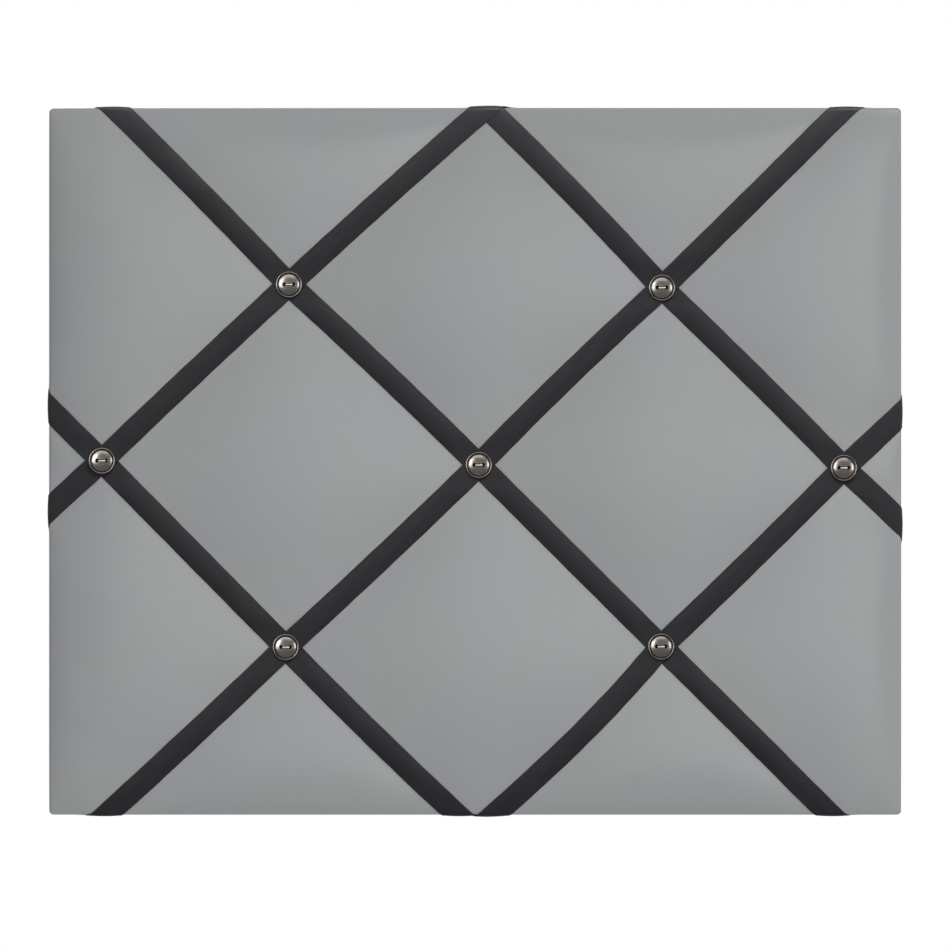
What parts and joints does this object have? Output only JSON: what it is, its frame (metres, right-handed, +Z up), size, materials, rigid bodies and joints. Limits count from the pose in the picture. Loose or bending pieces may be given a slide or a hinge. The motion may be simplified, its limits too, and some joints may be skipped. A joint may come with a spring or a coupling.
{
  "type": "french memo board",
  "caption": "Padded, cloth-covered memo board with a diamond lattice of satin ribbons held down by sewn buttons, to tuck cards under, and D-ring hangers at the back.",
  "frame": {"origin": "Middle of the back panel's rear face, the face that hangs against the wall.", "axes": "+X to the right as seen from the front, +Y out of the back into the wall, +Z up."},
  "size_m": [0.4824, 0.0272, 0.4018],
  "materials": {
    "cloth": "plain matte grey cloth",
    "ribbon": "charcoal satin",
    "button_metal": "antique nickel plate, darkened in the groove",
    "thread": "pale sewing thread",
    "wadding": "white polyester wadding",
    "fibreboard": "raw fibreboard",
    "backing": "smooth brown hardboard",
    "hanger_plate": "nickel plate",
    "screw_steel": "zinc plate",
    "staple_wire": "galvanised wire"
  },
  "bodies": {
    "board": {"base_board": "fibreboard", "foam_pad": "wadding", "fabric_cover": "cloth", "back_panel": "backing", "ribbon_fall_left": "ribbon", "ribbon_fall_centre": "ribbon", "ribbon_fall_right": "ribbon", "ribbon_rise_left": "ribbon", "ribbon_rise_centre": "ribbon", "ribbon_rise_right": "ribbon", "button_upper_left": "button_metal", "button_upper_right": "button_metal", "button_middle_left": "button_metal", "button_centre": "button_metal", "button_middle_right": "button_metal", "button_lower_left": "button_metal", "button_lower_right": "button_metal", "thread_upper_left": "thread", "thread_upper_right": "thread", "thread_middle_left": "thread", "thread_centre": "thread", "thread_middle_right": "thread", "thread_lower_left": "thread", "thread_lower_right": "thread", "ribbon_staple_01": "staple_wire", "ribbon_staple_02": "staple_wire", "ribbon_staple_03": "staple_wire", "ribbon_staple_04": "staple_wire", "ribbon_staple_05": "staple_wire", "ribbon_staple_06": "staple_wire", "ribbon_staple_07": "staple_wire", "ribbon_staple_08": "staple_wire", "ribbon_staple_09": "staple_wire", "ribbon_staple_10": "staple_wire", "ribbon_staple_11": "staple_wire", "ribbon_staple_12": "staple_wire", "hanger_strap_left": "hanger_plate", "hanger_screw_left": "screw_steel", "hanger_strap_right": "hanger_plate", "hanger_screw_right": "screw_steel"},
    "left_ring": {"hanger_ring_left": "hanger_plate"},
    "right_ring": {"hanger_ring_right": "hanger_plate"}
  },
  "joints": [
    {"name": "left_ring_swing", "type": "hinge", "parent": "board", "child": "left_ring", "pos_m": [-0.15, 0.00265, 0.1495], "axis": [1, 0, 0], "range_deg": [0, 180]},
    {"name": "right_ring_swing", "type": "hinge", "parent": "board", "child": "right_ring", "pos_m": [0.15, 0.00265, 0.1495], "axis": [1, 0, 0], "range_deg": [0, 180]}
  ]
}
